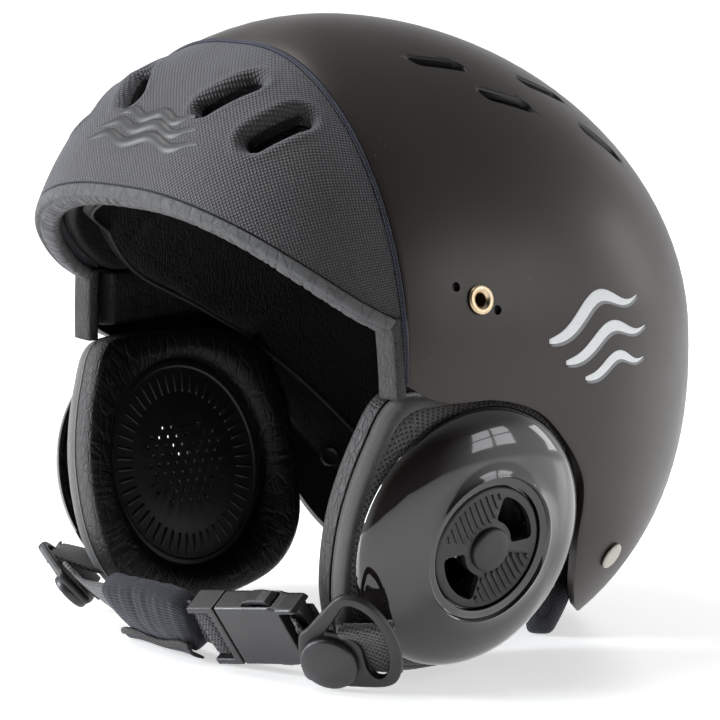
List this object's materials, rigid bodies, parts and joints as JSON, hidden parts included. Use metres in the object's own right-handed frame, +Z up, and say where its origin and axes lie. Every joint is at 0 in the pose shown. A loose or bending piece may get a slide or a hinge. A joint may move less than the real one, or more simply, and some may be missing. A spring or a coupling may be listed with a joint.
{
  "type": "water helmet",
  "caption": "Open-face water helmet: hard rear shell, padded fabric brow panel, vented ear cups on cushioned pads, and a chin strap with a side-release buckle.",
  "frame": {"origin": "centre of the bounding box in X and Y, on the surface that the helmet stands on", "axes": "+Z up, -Y towards the wearer's face opening, +X towards the wearer's left"},
  "size_m": [0.2254, 0.2421, 0.2303],
  "materials": {
    "shell": "matte brown-black with a soft sheen",
    "brow_fabric": "tight dark grey-blue weave",
    "grey_leather": "finely wrinkled grey leather",
    "piping": "thin blue-grey cord",
    "foam_liner": "foam with a felt face",
    "black_leather": "soft black leather with creases",
    "mesh": "open black spacer mesh",
    "smoked_cup": "glossy smoked black",
    "plastic": "finely textured black",
    "webbing": "ribbed black webbing",
    "ribbed_knit": "ribbed navy-black knit",
    "brass": "turned metal with a warm tint",
    "rivet": "off-white painted head"
  },
  "bodies": {
    "helmet": {"outer_shell": "shell", "brow_panel": "brow_fabric", "brow_edge_trim": "grey_leather", "seam_piping": "piping", "crown_liner": "foam_liner", "brow_fit_band": "black_leather", "rear_liner": "black_leather", "neck_pad": "ribbed_knit", "side_liner_left": "black_leather", "temple_insert_left": "brass", "rear_rivet_left": "rivet", "rivet_washer_left": "plastic", "liner_snap_left": "plastic", "ear_pad_cover_left": "mesh", "ear_pad_foam_left": "foam_liner", "ear_cushion_left": "black_leather", "ear_grille_left": "plastic", "ear_cup_left": "smoked_cup", "side_liner_right": "black_leather", "temple_insert_right": "brass", "rear_rivet_right": "rivet", "rivet_washer_right": "plastic", "liner_snap_right": "plastic", "ear_pad_cover_right": "mesh", "ear_pad_foam_right": "foam_liner", "ear_cushion_right": "black_leather", "ear_grille_right": "plastic", "ear_cup_right": "smoked_cup"},
    "vent_left": {"vent_rotor_left": "plastic", "rotor_cap_left": "plastic", "rotor_clip_left": "brass"},
    "vent_right": {"vent_rotor_right": "plastic", "rotor_cap_right": "plastic", "rotor_clip_right": "brass"},
    "chin_strap": {"strap_tab_left": "mesh", "strap_tab_right": "mesh", "strap_adjuster_left": "plastic", "strap_adjuster_right": "plastic", "chin_webbing": "webbing", "socket_webbing": "webbing", "buckle_socket": "plastic", "buckle_plug": "plastic"},
    "prong_upper": {"buckle_prong_upper": "plastic"},
    "prong_lower": {"buckle_prong_lower": "plastic"},
    "chin_pad": {"chin_pad": "ribbed_knit", "chin_pad_binding": "grey_leather"}
  },
  "joints": [
    {"name": "vent_left_turn", "type": "hinge", "parent": "helmet", "child": "vent_left", "pos_m": [0.109, -0.0348, 0.0468], "axis": [0.9781, 0, -0.2079], "range_deg": [0, 85]},
    {"name": "vent_right_turn", "type": "hinge", "parent": "helmet", "child": "vent_right", "pos_m": [-0.109, -0.0348, 0.0468], "axis": [0.9781, 0, 0.2079], "range_deg": [0, 85]},
    {"name": "chin_strap_swing", "type": "hinge", "parent": "helmet", "child": "chin_strap", "pos_m": [0, -0.0858, 0.041], "axis": [-1, 0, 0], "range_deg": [0, 45]},
    {"name": "prong_upper_squeeze", "type": "hinge", "parent": "chin_strap", "child": "prong_upper", "pos_m": [0.0386, -0.10117, 0.0233], "axis": [-0.2505, 0.8056, 0.5369], "range_deg": [0, 7], "stiffness_Nm_per_rad": 0.5},
    {"name": "prong_lower_squeeze", "type": "hinge", "parent": "chin_strap", "child": "prong_lower", "pos_m": [0.0384, -0.09123, 0.0083], "axis": [0.2505, -0.8056, -0.5369], "range_deg": [0, 7], "stiffness_Nm_per_rad": 0.5},
    {"name": "chin_pad_slide", "type": "slide", "parent": "chin_strap", "child": "chin_pad", "axis": [0.9988, -0.04, 0.028], "range_m": [-0.007, 0.0025]}
  ]
}
